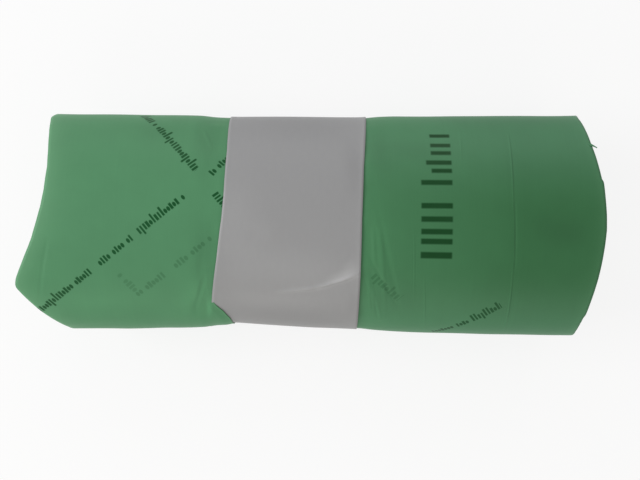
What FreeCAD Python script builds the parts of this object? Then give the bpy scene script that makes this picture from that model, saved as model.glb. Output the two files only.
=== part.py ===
import FreeCAD, Part
import math
import os
import Sketcher

# A roll of bin bags, wound flat without a core and pressed to an oval, with a plain paper band
# round its middle. The roll lies along X on a small flat spot at Z = 0, with its front at -Y.
# Every length is in millimetres and every angle in degrees.
SIZES = [
    ("roll_length", 181.6, "left tip of the film to the crown of the right end"),
    ("full_height", 42.0, "height of the oval before it settles on its flat spot"),
    ("flat_depth", 0.5, "how far the underside is pressed flat"),
    ("left_width", 71.4, "width of the roll left of the band"),
    ("right_width", 73.6, "width of the roll at its right end"),
    ("film_turns", 9, "modelled turns, each standing for about one bag's length of film"),
    ("turn_gap", 0.5, "gap between the loosened turns at the two ends"),
    ("gap_depth_left", 19.0, "how far the gaps reach in from the left tip"),
    ("gap_depth_right", 11.0, "how far the gaps reach in from the right end"),
    ("eye_height", 2.8, "height of the collapsed eye at the middle of the turns"),
    ("lip_thickness", 0.7, "thickness of the film bundle at its free edge"),
    ("lip_angle", -38.0, "place of the free edge round the oval, from the back downwards"),
    ("lip_step", 3.0, "angle of the step in front of the free edge"),
    ("lip_reach", 14.0, "angle over which the film is lifted behind its free edge"),
    ("slot_margin", 0.1, "how much tighter the slot is between the ends, on either side"),
    ("tip_offset", 21.7, "distance of the left tip in front of the axis"),
    ("tip_round", 2.5, "rounding of the left tip"),
    ("edge_overrun", 5.0, "how far the edges' outlines run on past the sides of the roll"),
    ("back_setback", 4.9, "how far the left edge's outline lies behind the tip at its back end"),
    ("left_hollow", 6.8, "depth of the hollow arc from the tip to the outline's back end"),
    ("corner_setback", 16.7, "how far the left edge's outline lies behind the tip at its front end"),
    ("corner_bulge", 1.9, "bulge of the slanted corner from the tip to the outline's front end"),
    ("right_bow", 3.6, "bow of the right edge's outline"),
    ("right_skew", 1.8, "how much further the right edge's outline reaches at its back end"),
    ("neck_front", 2.9, "how far the band pulls the front in at its left edge"),
    ("neck_back", 1.1, "how far the band pulls the back in at its left edge"),
    ("waist_pinch", 0.8, "how far the band pulls both sides in at its right edge"),
    ("shoulder_run", 8.0, "length over which the film swells out beside the band"),
    ("band_middle", -5.2, "place of the band's middle along the roll"),
    ("band_width", 43.6, "width of the band along the crown"),
    ("band_thickness", 0.3, "thickness of the band"),
    ("band_clearance", 0.15, "play between the band and the film"),
    ("band_left_skew", 3.3, "how far the left edge's outline runs askew to either side"),
    ("band_left_bow", 2.3, "bow of the left edge's outline"),
    ("band_right_skew", 1.4, "how far the right edge's outline runs askew to either side"),
    ("lap_start", -72.0, "first angle of the band's glued lap"),
    ("lap_end", -46.0, "last angle of the band's glued lap"),
]

doc = FreeCAD.newDocument("bin_bag_roll")
sheet = doc.addObject("Spreadsheet::Sheet", "Sizes")
for row, (alias, number, meaning) in enumerate(SIZES, start=1):
    sheet.set(f"A{row}", meaning)
    sheet.set(f"B{row}", str(number))
    sheet.setAlias(f"B{row}", alias)
doc.recompute()

CLEAR_OF_ROLL = 5.0
NEAR = 0.01


def size(alias):
    return float(sheet.get(alias))


# The stations along the roll where its oval section is set, from left to right. Each gives its
# place, its half width to the front and to the back, and its half height, as formulas.
HALF_HEIGHT = "Sizes.full_height / 2"
SWELLING = "(Sizes.flat_depth + Sizes.band_thickness + Sizes.band_clearance)"
NECK_HEIGHT = f"{HALF_HEIGHT} - {SWELLING}"
BAND_LEFT = (
    "Sizes.band_middle - Sizes.band_width / 2 - Sizes.band_left_skew - Sizes.band_left_bow"
)
BAND_RIGHT = "Sizes.band_middle + Sizes.band_width / 2 + Sizes.band_right_skew"
LEFT_SIDE, RIGHT_SIDE = "Sizes.left_width / 2", "Sizes.right_width / 2"
PINCHED = f"{LEFT_SIDE} - Sizes.waist_pinch"
STATIONS = [
    (f"-Sizes.roll_length / 2 - {CLEAR_OF_ROLL}", LEFT_SIDE, LEFT_SIDE, HALF_HEIGHT),
    (f"{BAND_LEFT} - Sizes.shoulder_run", LEFT_SIDE, LEFT_SIDE, HALF_HEIGHT),
    (
        f"{BAND_LEFT} - 0.4 * Sizes.shoulder_run",
        f"{LEFT_SIDE} - 0.35 * Sizes.neck_front",
        f"{LEFT_SIDE} - 0.35 * Sizes.neck_back",
        f"{HALF_HEIGHT} - 0.35 * {SWELLING}",
    ),
    (
        BAND_LEFT,
        f"{LEFT_SIDE} - Sizes.neck_front",
        f"{LEFT_SIDE} - Sizes.neck_back",
        NECK_HEIGHT,
    ),
    (BAND_RIGHT, PINCHED, PINCHED, NECK_HEIGHT),
    (
        f"{BAND_RIGHT} + 0.4 * Sizes.shoulder_run",
        f"{LEFT_SIDE} - 0.35 * Sizes.waist_pinch",
        f"{LEFT_SIDE} - 0.35 * Sizes.waist_pinch",
        f"{HALF_HEIGHT} - 0.35 * {SWELLING}",
    ),
    (f"{BAND_RIGHT} + Sizes.shoulder_run", LEFT_SIDE, LEFT_SIDE, HALF_HEIGHT),
    ("Sizes.roll_length / 2 - Sizes.gap_depth_right", RIGHT_SIDE, RIGHT_SIDE, HALF_HEIGHT),
    (f"Sizes.roll_length / 2 + {CLEAR_OF_ROLL}", RIGHT_SIDE, RIGHT_SIDE, HALF_HEIGHT),
]
AXIS_HEIGHT = "Sizes.full_height / 2 - Sizes.flat_depth"


def origin_plane(body, role):
    return [plane for plane in body.Origin.OriginFeatures if plane.Role == role][0]


def flat_sketch(body, role, name):
    sketch = body.newObject("Sketcher::SketchObject", name)
    sketch.AttachmentSupport = [(origin_plane(body, role), "")]
    sketch.MapMode = "FlatFace"
    return sketch


def bound_constraint(sketch, name, constraint, formula):
    index = sketch.addConstraint(constraint)
    sketch.renameConstraint(index, name)
    sketch.setExpression(f"Constraints.{name}", formula)


def oval_sketch(body, name, station, growth):
    # One oval of the roll at a station, grown all round by the formula in growth.
    place, front, back, tall = station
    sketch = flat_sketch(body, "YZ_Plane", name)
    sketch.setExpression("AttachmentOffset.Base.z", place)
    half_width = size("left_width") / 2
    half_height = size("full_height") / 2
    middle = FreeCAD.Vector(0, half_height, 0)
    side_end = middle + FreeCAD.Vector(half_width, 0, 0)
    top_end = middle + FreeCAD.Vector(0, half_height, 0)
    sketch.addGeometry(Part.Ellipse(side_end, top_end, middle), False)
    sketch.exposeInternalGeometry(0)
    oval, long_axis, short_axis, centre = 0, 1, 2, 3
    sketch.addConstraint(Sketcher.Constraint("Horizontal", long_axis))
    bound_constraint(
        sketch,
        "width",
        Sketcher.Constraint("Distance", long_axis, 2 * half_width),
        f"({front}) + ({back}) + 2 * ({growth})",
    )
    bound_constraint(
        sketch,
        "height",
        Sketcher.Constraint("Distance", short_axis, 2 * half_height),
        f"2 * ({tall}) + 2 * ({growth})",
    )
    bound_constraint(
        sketch,
        "sideways",
        Sketcher.Constraint("DistanceX", -1, 1, oval, centre, 0.0),
        f"(({back}) - ({front})) / 2",
    )
    bound_constraint(
        sketch,
        "upwards",
        Sketcher.Constraint("DistanceY", -1, 1, oval, centre, half_height),
        AXIS_HEIGHT,
    )
    return sketch


def oval_loft(body, kind, name, growth):
    # A tube through the ovals of every station.
    sketches = [
        oval_sketch(body, f"{name}Oval{number}", station, growth)
        for number, station in enumerate(STATIONS, start=1)
    ]
    loft = body.newObject(kind, name)
    loft.Profile = (sketches[0], [""])
    loft.Sections = [(sketch, [""]) for sketch in sketches[1:]]
    loft.Ruled = True
    doc.recompute()
    return loft, sketches


def point(x, y):
    return FreeCAD.Vector(x, y, 0)


def bowed(start, end, bow):
    # An arc from start to end whose middle stands off the chord by bow, to the left of travel.
    along = end - start
    left = FreeCAD.Vector(-along.y, along.x, 0).normalize()
    return Part.ArcOfCircle(start, (start + end) * 0.5 + left * bow, end)


def bow_radius(run, rise, bow):
    # The radius of an arc whose chord spans run and rise, and whose middle stands off by bow.
    return f"((({run})^2 + ({rise})^2) / 4 + ({bow})^2) / (2 * ({bow}))"


def outline_sketch(body, role, name, corners, bows):
    # A closed outline. Each corner is its two numbers and its two formulas. bows holds, for each
    # side that is an arc, how far it stands off to the left and the formula of its radius.
    sketch = flat_sketch(body, role, name)
    places = [point(corner[0], corner[1]) for corner in corners]
    starts, ends = [], []
    for side, place in enumerate(places):
        following = places[(side + 1) % len(places)]
        if side in bows:
            curve = bowed(place, following, bows[side][0])
        else:
            curve = Part.LineSegment(place, following)
        sketch.addGeometry(curve, False)
        forward = (sketch.getPoint(side, 1) - place).Length < NEAR
        starts.append(1 if forward else 2)
        ends.append(2 if forward else 1)
    for side, (x, y, across, up) in enumerate(corners):
        following = (side + 1) % len(corners)
        start = starts[side]
        sketch.addConstraint(
            Sketcher.Constraint("Coincident", side, ends[side], following, starts[following])
        )
        bound_constraint(
            sketch,
            f"across{side}",
            Sketcher.Constraint("DistanceX", -1, 1, side, start, x),
            across,
        )
        bound_constraint(
            sketch, f"up{side}", Sketcher.Constraint("DistanceY", -1, 1, side, start, y), up
        )
    for side, (bow, radius) in bows.items():
        curve = sketch.Geometry[side]
        bound_constraint(
            sketch, f"radius{side}", Sketcher.Constraint("Radius", side, curve.Radius), radius
        )
    return sketch


def through_pocket(body, name, sketch):
    pocket = body.newObject("PartDesign::Pocket", name)
    pocket.Profile = sketch
    pocket.Type = "ThroughAll"
    pocket.SideType = "Symmetric"
    doc.recompute()
    return pocket


def trim_left_end(body):
    # The left edge of the film, askew: hollow towards the back, with a tip and a slanted corner.
    tip_x, tip_y = -size("roll_length") / 2, -size("tip_offset")
    back_x, front_x = tip_x + size("back_setback"), tip_x + size("corner_setback")
    outside, beyond = tip_x - 2 * CLEAR_OF_ROLL, size("left_width") / 2 + size("edge_overrun")
    tip = "-Sizes.roll_length / 2"
    outside_text = f"{tip} - {2 * CLEAR_OF_ROLL}"
    beyond_text = "(Sizes.left_width / 2 + Sizes.edge_overrun)"
    corners = [
        (back_x, beyond, f"{tip} + Sizes.back_setback", beyond_text),
        (tip_x, tip_y, tip, "-Sizes.tip_offset"),
        (front_x, -beyond, f"{tip} + Sizes.corner_setback", f"-{beyond_text}"),
        (outside, -beyond, outside_text, f"-{beyond_text}"),
        (outside, beyond, outside_text, beyond_text),
    ]
    hollow_rise = f"{beyond_text} + Sizes.tip_offset"
    slant_rise = f"{beyond_text} - Sizes.tip_offset"
    hollow = bow_radius("Sizes.back_setback", hollow_rise, "Sizes.left_hollow")
    slant = bow_radius("Sizes.corner_setback", slant_rise, "Sizes.corner_bulge")
    bows = {0: (size("left_hollow"), hollow), 1: (-size("corner_bulge"), slant)}
    sketch = outline_sketch(body, "XY_Plane", "LeftEdgeOutline", corners, bows)
    return through_pocket(body, "LeftEdge", sketch)


def trim_right_end(body):
    # The right edge of the film, slightly bowed and a little further out at the back.
    middle = size("roll_length") / 2 - size("right_bow")
    front_x, back_x = middle - size("right_skew") / 2, middle + size("right_skew") / 2
    outside, beyond = middle + 3 * CLEAR_OF_ROLL, size("right_width") / 2 + size("edge_overrun")
    middle_text = "Sizes.roll_length / 2 - Sizes.right_bow"
    outside_text = f"{middle_text} + {3 * CLEAR_OF_ROLL}"
    beyond_text = "(Sizes.right_width / 2 + Sizes.edge_overrun)"
    corners = [
        (front_x, -beyond, f"{middle_text} - Sizes.right_skew / 2", f"-{beyond_text}"),
        (back_x, beyond, f"{middle_text} + Sizes.right_skew / 2", beyond_text),
        (outside, beyond, outside_text, beyond_text),
        (outside, -beyond, outside_text, f"-{beyond_text}"),
    ]
    bow = bow_radius("Sizes.right_skew", f"2 * {beyond_text}", "Sizes.right_bow")
    bows = {0: (-size("right_bow"), bow)}
    sketch = outline_sketch(body, "XY_Plane", "RightEdgeOutline", corners, bows)
    return through_pocket(body, "RightEdge", sketch)


def round_left_tip(body, trimmed):
    # The upright edge at the left tip is the one whose two ends both lie at the tip.
    tip_x, tip_y = -size("roll_length") / 2, -size("tip_offset")
    names = [
        f"Edge{number}"
        for number, edge in enumerate(trimmed.Shape.Edges, start=1)
        if all(
            abs(vertex.X - tip_x) < NEAR and abs(vertex.Y - tip_y) < NEAR
            for vertex in edge.Vertexes
        )
    ]
    fillet = body.newObject("PartDesign::Fillet", "TipRound")
    fillet.Base = (trimmed, names)
    fillet.setExpression("Radius", "Sizes.tip_round")
    doc.recompute()
    return fillet


def oval_numbers(sketch):
    # Place along the roll, centre across it and above it, and the two half axes of an oval.
    return (
        sketch.Placement.Base.x,
        sketch.getDatum("sideways").Value,
        sketch.getDatum("upwards").Value,
        sketch.getDatum("width").Value / 2,
        sketch.getDatum("height").Value / 2,
    )


def on_oval(numbers, angle, inset):
    # A point round an oval, inset from it. Angle 0 is the back and 90 the crown.
    along, sideways, upwards, half_width, half_height = numbers
    turn = math.radians(angle)
    return FreeCAD.Vector(
        along,
        sideways + (half_width - inset) * math.cos(turn),
        upwards + (half_height - inset) * math.sin(turn),
    )


def turn_pitch():
    # The turns fill the oval's half height evenly between the free edge and the eye.
    filled = size("full_height") / 2 - size("lip_thickness") - size("eye_height") / 2
    return filled / size("film_turns")


def spiral_inset(angle, offset):
    # How far the spiral of the turns lies inside the oval, at an angle that falls turn by turn.
    return size("lip_thickness") + turn_pitch() * (size("lip_angle") - angle) / 360 + offset


def half_turn(numbers, offset, number, first, last):
    # One half turn of the spiral as a half oval between two points of the long axis. It runs
    # from angle first down to angle last, both within the half turn.
    along, sideways, upwards, half_width, half_height = numbers
    begin = -180 * number
    ends = [half_width - spiral_inset(angle, offset) for angle in (begin, begin - 180)]
    side = 1 if number % 2 == 0 else -1
    centre = FreeCAD.Vector(along, sideways + side * (ends[0] - ends[1]) / 2, upwards)
    wide = (ends[0] + ends[1]) / 2
    tall = half_height - spiral_inset(begin - 90, offset)
    oval = Part.Ellipse(
        centre + FreeCAD.Vector(0, wide, 0), centre - FreeCAD.Vector(0, 0, tall), centre
    )
    turned = [math.radians((-angle) % 360) for angle in (first, last)]
    if turned[1] <= turned[0]:
        turned[1] += 2 * math.pi
    return Part.Arc(oval, turned[0], turned[1]).toShape()


def spiral_run(numbers, offset, last):
    # The spiral from the free edge down to the angle last, half turn by half turn.
    curves = []
    first = size("lip_angle")
    while first > last + NEAR:
        number = int(-first // 180)
        end = max(last, -180 * (number + 1))
        curves.append(half_turn(numbers, offset, number, first, end))
        first = end
    return curves


def end_points(curves):
    first, last = curves[0], curves[-1]
    return first.valueAt(first.FirstParameter), last.valueAt(last.LastParameter)


def slot_wire(numbers, margin, last):
    # The slot between two turns down to the angle last, and the step in front of the free edge
    # that it opens to. margin makes the slot tighter on either side.
    near = spiral_run(numbers, margin, last)
    far = spiral_run(numbers, size("turn_gap") - margin, last)
    near_start, near_end = end_points(near)
    far_start, far_end = end_points(far)
    step_angle = size("lip_angle") + size("lip_step") * (1 - margin)
    outside = -CLEAR_OF_ROLL / 2
    links = [
        far_start,
        on_oval(numbers, step_angle, size("lip_thickness")),
        on_oval(numbers, step_angle, outside),
        on_oval(numbers, size("lip_angle") + margin, outside),
        near_start,
    ]
    edges = near + [Part.makeLine(near_end, far_end)] + far[::-1]
    edges += [Part.makeLine(links[n], links[n + 1]) for n in range(4)]
    return Part.Wire(edges)


def turn_gap_section(numbers):
    # The gap between neighbouring turns, and the collapsed eye inside the last of them.
    last = size("lip_angle") - 360 * (size("film_turns") - 1)
    gap = slot_wire(numbers, 0, last)
    innermost = size("lip_thickness") + turn_pitch() * size("film_turns")
    eye = Part.Ellipse(
        on_oval(numbers, 0, innermost),
        on_oval(numbers, 90, innermost),
        on_oval(numbers, 0, numbers[3]),
    )
    return Part.makeCompound([Part.Face(gap), Part.Face(Part.Wire(eye.toShape()))])


def gap_tool(name, section, depth, direction):
    # The turn gaps at one end of the roll, reaching in from outside it.
    profile = doc.addObject("Part::Feature", f"{name}Section")
    profile.Shape = section
    tool = doc.addObject("Part::Extrusion", name)
    tool.Base = profile
    tool.DirMode = "Custom"
    tool.Dir = FreeCAD.Vector(direction, 0, 0)
    tool.setExpression("LengthFwd", f"Sizes.{depth} + {CLEAR_OF_ROLL}")
    return tool


def cut_from(name, base, tool):
    cut = doc.addObject("Part::Cut", name)
    cut.Base = base
    cut.Tool = tool
    return cut


def trim_band_left(body):
    # The band's left edge, bowed and askew.
    crown = size("band_middle") - size("band_width") / 2
    front_x = crown - size("band_left_bow") - size("band_left_skew")
    back_x = crown - size("band_left_bow") + size("band_left_skew")
    outside = -size("roll_length") / 2 - 2 * CLEAR_OF_ROLL
    beyond = size("left_width") / 2 + size("edge_overrun")
    ends_text = "Sizes.band_middle - Sizes.band_width / 2 - Sizes.band_left_bow"
    outside_text = f"-Sizes.roll_length / 2 - {2 * CLEAR_OF_ROLL}"
    beyond_text = "(Sizes.left_width / 2 + Sizes.edge_overrun)"
    corners = [
        (front_x, -beyond, f"{ends_text} - Sizes.band_left_skew", f"-{beyond_text}"),
        (back_x, beyond, f"{ends_text} + Sizes.band_left_skew", beyond_text),
        (outside, beyond, outside_text, beyond_text),
        (outside, -beyond, outside_text, f"-{beyond_text}"),
    ]
    bow = bow_radius("2 * Sizes.band_left_skew", f"2 * {beyond_text}", "Sizes.band_left_bow")
    bows = {0: (-size("band_left_bow"), bow)}
    sketch = outline_sketch(body, "XY_Plane", f"{body.Name}LeftOutline", corners, bows)
    return through_pocket(body, f"{body.Name}LeftEdge", sketch)


def trim_band_right(body):
    # The band's right edge, straight and slightly askew.
    crown = size("band_middle") + size("band_width") / 2
    front_x, back_x = crown - size("band_right_skew"), crown + size("band_right_skew")
    outside = size("roll_length") / 2 + 2 * CLEAR_OF_ROLL
    beyond = size("right_width") / 2 + size("edge_overrun")
    crown_text = "Sizes.band_middle + Sizes.band_width / 2"
    outside_text = f"Sizes.roll_length / 2 + {2 * CLEAR_OF_ROLL}"
    beyond_text = "(Sizes.right_width / 2 + Sizes.edge_overrun)"
    corners = [
        (front_x, -beyond, f"{crown_text} - Sizes.band_right_skew", f"-{beyond_text}"),
        (back_x, beyond, f"{crown_text} + Sizes.band_right_skew", beyond_text),
        (outside, beyond, outside_text, beyond_text),
        (outside, -beyond, outside_text, f"-{beyond_text}"),
    ]
    sketch = outline_sketch(body, "XY_Plane", f"{body.Name}RightOutline", corners, {})
    return through_pocket(body, f"{body.Name}RightEdge", sketch)


def paper_layer(name, inner, outer):
    # A sleeve of paper between two growths of the film's ovals, cut to the band's two edges.
    body = doc.addObject("PartDesign::Body", name)
    oval_loft(body, "PartDesign::AdditiveLoft", f"{name}Outside", outer)
    oval_loft(body, "PartDesign::SubtractiveLoft", f"{name}Inside", inner)
    trim_band_left(body)
    trim_band_right(body)
    return body


def keep_lap(body):
    # Leaves only the sector of the glued lap, at the lower back.
    far = 2 * size("right_width")
    axis = size("full_height") / 2 - size("flat_depth")
    far_text = "2 * Sizes.right_width"
    corners = [(0, axis, "0", AXIS_HEIGHT)]
    lap_end, lap_start = math.radians(size("lap_end")), math.radians(size("lap_start"))
    corners += [
        (
            far * math.cos(lap_end),
            axis + far * math.sin(lap_end),
            f"{far_text} * cos(Sizes.lap_end)",
            f"{AXIS_HEIGHT} + {far_text} * sin(Sizes.lap_end)",
        ),
        (far, far, far_text, far_text),
        (-far, far, f"-{far_text}", far_text),
        (-far, -far, f"-{far_text}", f"-{far_text}"),
        (
            far * math.cos(lap_start),
            axis + far * math.sin(lap_start),
            f"{far_text} * cos(Sizes.lap_start)",
            f"{AXIS_HEIGHT} + {far_text} * sin(Sizes.lap_start)",
        ),
    ]
    sketch = outline_sketch(body, "YZ_Plane", "LapSector", corners, {})
    return through_pocket(body, "LapEnds", sketch)


# The film: an oval tube of turns, its two edges, its loose turns at both ends, its free edge, and
# the flat spot that it lies on.
roll_body = doc.addObject("PartDesign::Body", "RollBody")
film, film_ovals = oval_loft(roll_body, "PartDesign::AdditiveLoft", "Film", "0")
trim_right_end(roll_body)
round_left_tip(roll_body, trim_left_end(roll_body))

stations = [oval_numbers(sketch) for sketch in film_ovals]
left_gaps = gap_tool("LeftGaps", turn_gap_section(stations[0]), "gap_depth_left", 1)
right_gaps = gap_tool("RightGaps", turn_gap_section(stations[-1]), "gap_depth_right", -1)
reach_end = size("lip_angle") - size("lip_reach")
slots = [slot_wire(numbers, size("slot_margin"), reach_end) for numbers in stations]
free_edge = doc.addObject("Part::Feature", "FreeEdge")
free_edge.Shape = Part.makeLoft(slots, True, True)

ground = doc.addObject("Part::Box", "Ground")
ground.setExpression("Length", f"Sizes.roll_length + {4 * CLEAR_OF_ROLL}")
ground.setExpression("Width", "2 * Sizes.right_width")
ground.setExpression("Height", "Sizes.full_height")
ground.setExpression("Placement.Base.x", f"-Sizes.roll_length / 2 - {2 * CLEAR_OF_ROLL}")
ground.setExpression("Placement.Base.y", "-Sizes.right_width")
ground.setExpression("Placement.Base.z", "-Sizes.full_height")

turns_left = cut_from("TurnsLeft", roll_body, left_gaps)
turns_right = cut_from("TurnsRight", turns_left, right_gaps)
turns_seam = cut_from("TurnsSeam", turns_right, free_edge)
bag_roll = cut_from("BagRoll", turns_seam, ground)
bag_roll.Label = "bag_roll"

# The paper band: one sleeve, doubled at its glued lap.
band_body = paper_layer(
    "BandSleeve", "Sizes.band_clearance", "Sizes.band_clearance + Sizes.band_thickness"
)
lap_body = paper_layer(
    "BandLap",
    "Sizes.band_clearance + Sizes.band_thickness / 2",
    "Sizes.band_clearance + 2 * Sizes.band_thickness",
)
keep_lap(lap_body)
paper_band = doc.addObject("Part::Fuse", "PaperBand")
paper_band.Label = "paper_band"
paper_band.Base = band_body
paper_band.Tool = lap_body
doc.recompute()

for item in doc.Objects:
    if "Invalid" in item.State or "Error" in item.State:
        raise RuntimeError(f"{item.Name} did not compute")

os.makedirs("parts", exist_ok=True)
for part in (bag_roll, paper_band):
    shape = part.Shape
    if shape.isNull() or not shape.isValid() or len(shape.Solids) != 1:
        raise RuntimeError(f"{part.Label} is not one valid solid")
    shape.exportStep(f"parts/{part.Label}.step")
    print(part.Label, "volume", round(shape.Volume), "faces", len(shape.Faces))
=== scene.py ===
import math
import bmesh
import bpy
import numpy as np
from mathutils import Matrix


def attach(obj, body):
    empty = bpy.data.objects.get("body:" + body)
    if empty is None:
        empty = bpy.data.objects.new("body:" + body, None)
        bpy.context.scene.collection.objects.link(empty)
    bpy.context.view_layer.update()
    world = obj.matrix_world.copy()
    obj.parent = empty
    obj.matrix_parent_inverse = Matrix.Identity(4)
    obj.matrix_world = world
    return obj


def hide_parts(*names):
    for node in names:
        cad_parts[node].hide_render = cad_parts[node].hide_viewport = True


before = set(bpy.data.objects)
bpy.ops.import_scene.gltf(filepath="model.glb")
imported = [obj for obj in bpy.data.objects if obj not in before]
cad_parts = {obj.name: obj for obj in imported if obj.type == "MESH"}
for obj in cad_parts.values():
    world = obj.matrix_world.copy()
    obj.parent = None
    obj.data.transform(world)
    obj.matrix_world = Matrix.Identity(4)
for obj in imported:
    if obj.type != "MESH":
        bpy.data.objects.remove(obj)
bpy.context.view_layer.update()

mm = 0.001
print("frame is loaded")

# Camera: straight above the roll, looking down, rolled a little so that the roll's axis falls
# away to the right as it does on the table. Lengths are in millimetres and the roll in degrees.
camera = {
    "place": (3.5, -5.6, 254.5),
    "roll": 0.577,
    "lens": 39.375,
    "sensor": 36.0,
    "nearest": 10.0,
}
cameraData = bpy.data.cameras.new("tableCamera")
cameraData.lens = camera["lens"]
cameraData.sensor_width = camera["sensor"]
cameraData.clip_start = camera["nearest"] * mm
tableCamera = bpy.data.objects.new("tableCamera", cameraData)
tableCamera.location = [value * mm for value in camera["place"]]
tableCamera.rotation_euler = (0.0, 0.0, math.radians(camera["roll"]))
bpy.context.scene.collection.objects.link(tableCamera)
bpy.context.scene.camera = tableCamera
print("camera is set")

# The oval that everything is wound on, in millimetres. Each row gives a place along the roll,
# the half width to the front and to the back, and the half height.
roll = {
    "axisHeight": 20.5,
    "stations": [
        (-95.0, 35.9, 35.7, 21.0),
        (-60.0, 35.8, 35.7, 21.0),
        (-42.0, 35.1, 35.6, 21.0),
        (-35.6, 34.6, 35.5, 20.95),
        (-31.4, 33.4, 35.0, 20.65),
        (-24.0, 33.0, 34.8, 20.5),
        (-10.0, 33.8, 34.9, 20.4),
        (2.0, 34.5, 35.0, 20.4),
        (17.0, 34.9, 35.1, 20.4),
        (21.0, 35.4, 35.5, 20.8),
        (27.0, 35.7, 35.8, 21.0),
        (60.0, 36.4, 36.5, 21.0),
        (95.0, 36.8, 36.8, 21.0),
    ],
    "meanHalfWidth": 35.9,
    "halfHeight": 21.0,
    "eyeHalfHeight": 1.4,
    "lipAngle": -38.0,        # place of the free edge, from the back downwards
    "groundEase": 0.18,       # how softly the underside meets the flat spot
    "rounding": (-1.6, -0.8, 0.0, 0.8, 1.6),   # the near places that round its corners off
}
rollStations = np.array(roll["stations"])

# The film's two edges as (place across the roll, place along it).
leftEdge = np.array([
    (-36.0, -77.6), (-34.5, -78.6), (-31.4, -81.9), (-28.6, -84.7), (-24.4, -88.2), (-21.4, -90.5),
    (-20.2, -90.7), (-18.3, -90.2), (-13.3, -87.8), (-8.3, -85.5), (-5.9, -84.5), (-1.0, -83.05),
    (3.9, -81.8), (8.8, -81.05), (16.3, -80.7), (21.5, -81.2), (26.9, -82.1), (31.5, -83.2),
    (33.4, -83.9), (36.0, -83.1),
])
rightEdge = np.array([
    (-37.0, 87.2), (-34.5, 86.7), (-32.3, 86.8), (-29.4, 87.2), (-28.9, 87.6), (-24.1, 88.2),
    (-16.4, 89.35), (-11.5, 89.95), (-6.6, 90.45), (-1.7, 90.85), (3.2, 90.8), (13.0, 90.3),
    (13.9, 89.8), (20.6, 88.8), (25.9, 87.9), (31.6, 87.2), (34.8, 86.9), (37.0, 87.7),
])


def eased(x, keys, values):
    # Straight lines between the keys, with their corners rounded: the mean over a few near places.
    shifts = roll["rounding"]
    return sum(np.interp(x + shift, keys, values) for shift in shifts) / len(shifts)


def ovalAt(x):
    # Centre across the roll, half width and half height of the oval at each place along it. The
    # centre is half the back's half width less half the front's.
    front = eased(x, rollStations[:, 0], rollStations[:, 1])
    back = eased(x, rollStations[:, 0], rollStations[:, 2])
    tall = eased(x, rollStations[:, 0], rollStations[:, 3])
    return (back - front) / 2.0, (back + front) / 2.0, tall


def settle(z):
    # A height z over the table becomes (z + root of z^2 + e^2) / 2, less e / 8 * exp(-(z / 3)^2).
    # High up that is z itself, and low down it turns softly into the flat spot at 0.
    ease = roll["groundEase"]
    return (z + np.sqrt(z * z + ease * ease)) / 2.0 - ease / 8.0 * np.exp(-(z / 3.0) ** 2)


def onOval(x, angle, outward):
    # A point at the angle round the oval (0 the back, 90 the crown), moved outward on both half
    # axes by the same length, then settled on the table.
    centre, wide, tall = ovalAt(x)
    turn = np.radians(angle)
    y = centre + (wide + outward) * np.cos(turn)
    z = roll["axisHeight"] + (tall + outward) * np.sin(turn)
    return np.stack(np.broadcast_arrays(x, y, settle(z)), axis=-1)


def arcTable():
    # The way round the mean oval at each half degree: the sum of the steps, each of which is
    # root of (a sin)^2 + (b cos)^2 times the step's angle.
    step = 0.5
    angles = np.arange(-720.0, 721.0, step)
    turn = np.radians(angles)
    speed = np.hypot(roll["meanHalfWidth"] * np.sin(turn), roll["halfHeight"] * np.cos(turn))
    speed = speed * math.radians(step)
    way = np.concatenate([[0.0], np.cumsum((speed[1:] + speed[:-1]) / 2.0)])
    return angles, way


arcAngles, arcWay = arcTable()
crownWay = np.interp(-270.0, arcAngles, arcWay)        # at the crown of the outer turn


def arcOf(angle):
    # The way from the crown down the back in millimetres, and below 0 down the front: the
    # crown's way less the angle's.
    return crownWay - np.interp(angle, arcAngles, arcWay)


def segmentDistance(x, arc, start, end):
    # Distance of each point from a segment, on the film laid flat. The nearest point stands at
    # the share (p - start) . (end - start) / length^2 of the segment, kept between 0 and 1.
    ax, ay = end[0] - start[0], end[1] - start[1]
    share = ((x - start[0]) * ax + (arc - start[1]) * ay) / (ax * ax + ay * ay)
    share = np.clip(share, 0.0, 1.0)
    return np.hypot(x - start[0] - share * ax, arc - start[1] - share * ay), share


def creases(x, arc, folds):
    # Each fold adds height * exp(-(distance / width)^2), and dies away towards both its ends by
    # a sine of the share.
    total = np.zeros(np.broadcast(x, arc).shape)
    for start, end, height, width in folds:
        distance, share = segmentDistance(x, arc, start, end)
        total += height * np.exp(-((distance / width) ** 2)) * np.sin(np.pi * (0.1 + 0.8 * share))
    return total


def swells(x, arc, waves):
    # Each wave adds height * sin(a x + b arc + phase).
    total = np.zeros(np.broadcast(x, arc).shape)
    for height, alongWay, aroundWay, phase in waves:
        total += height * np.sin(alongWay * x + aroundWay * arc + phase)
    return total


def gridOf(first, last, rows, columns):
    # A value that goes from the first to the last down the rows, and a share that goes from 0
    # to 1 along them.
    values, shares = np.linspace(first, last, rows), np.linspace(0.0, 1.0, columns)
    return np.meshgrid(values, shares, indexing="ij")


def gridMesh(name, points, uv=None, shades=None, turnOver=False, closedAround=False):
    # Joins a grid of points (rows by columns) with quads: each point to the next in its row and
    # to the next row's. The last row joins the first where the grid is closed around.
    rows, columns = points.shape[:2]
    index = np.arange(rows * columns).reshape(rows, columns)
    after = np.roll(index, -1, axis=0) if closedAround else index[1:]
    here = index if closedAround else index[:-1]
    quads = np.stack([here[:, :-1], after[:, :-1], after[:, 1:], here[:, 1:]], axis=-1)
    quads = quads.reshape(-1, 4)
    if turnOver:
        quads = quads[:, ::-1]
    return meshFrom(name, points.reshape(-1, 3), quads.tolist(), uv, shades)


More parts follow.
